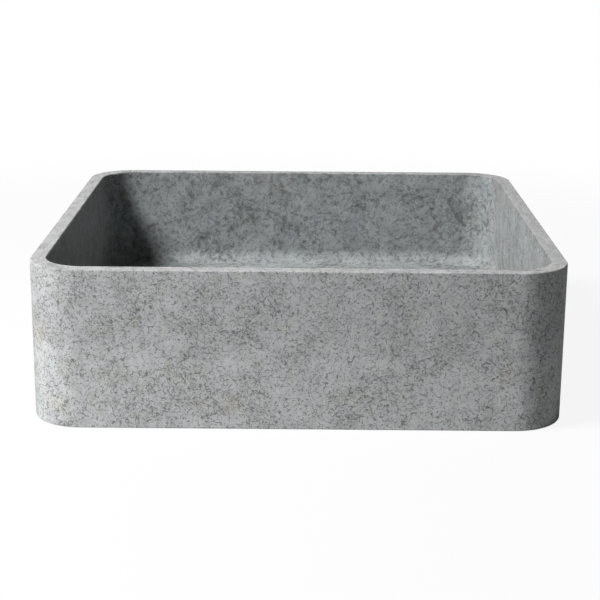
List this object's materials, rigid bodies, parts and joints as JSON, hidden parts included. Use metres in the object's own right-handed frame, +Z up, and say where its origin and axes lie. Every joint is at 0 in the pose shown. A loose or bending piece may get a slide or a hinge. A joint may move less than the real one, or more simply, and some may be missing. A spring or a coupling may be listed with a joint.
{
  "type": "concrete bathroom sink",
  "caption": "Square concrete worktop basin with rounded corners, an even rim, a coved bowl and a push-button waste whose plug rises and drops.",
  "frame": {"origin": "centre of the basin's flat underside, where it stands on the worktop", "axes": "+Z up out of the bowl, +X to the right seen from the front, +Y to the back; the front faces -Y"},
  "size_m": [0.4, 0.4, 0.184],
  "materials": {
    "concrete": "matte",
    "chromed_brass": "polished",
    "plain_brass": "satin",
    "steel": "satin",
    "black_rubber": "matte",
    "white_nylon": "matte"
  },
  "bodies": {
    "basin_body": {"basin": "concrete", "flange_gasket": "black_rubber", "waste_body": "chromed_brass", "cone_washer": "black_rubber", "slip_washer": "white_nylon", "back_nut": "plain_brass", "tail_seal": "black_rubber", "tailpiece": "chromed_brass", "cartridge_screw": "steel", "screw_washer": "steel", "cartridge_sleeve": "plain_brass", "sleeve_cap": "plain_brass", "wiper_ring": "black_rubber", "spring": "steel"},
    "plug": {"plunger": "steel", "plug_cap": "chromed_brass", "plug_seal": "black_rubber", "seal_disc": "plain_brass", "height_nut": "plain_brass"},
    "latch": {"latch_rotor": "white_nylon"}
  },
  "joints": [
    {"name": "plug_press", "type": "slide", "parent": "basin_body", "child": "plug", "axis": [0, 0, 1], "range_m": [-0.009, 0], "stiffness_N_per_m": 400, "springref_m": 0.006, "deforming": ["spring"]},
    {"name": "latch_turn", "type": "hinge", "parent": "plug", "child": "latch", "pos_m": [0, 0, 0], "axis": [0, 0, 1], "range_deg": [0, 90]}
  ],
  "couplings": [
    {"joint": "latch_turn", "follows": "plug_press", "rad_per_m": -174.53}
  ]
}
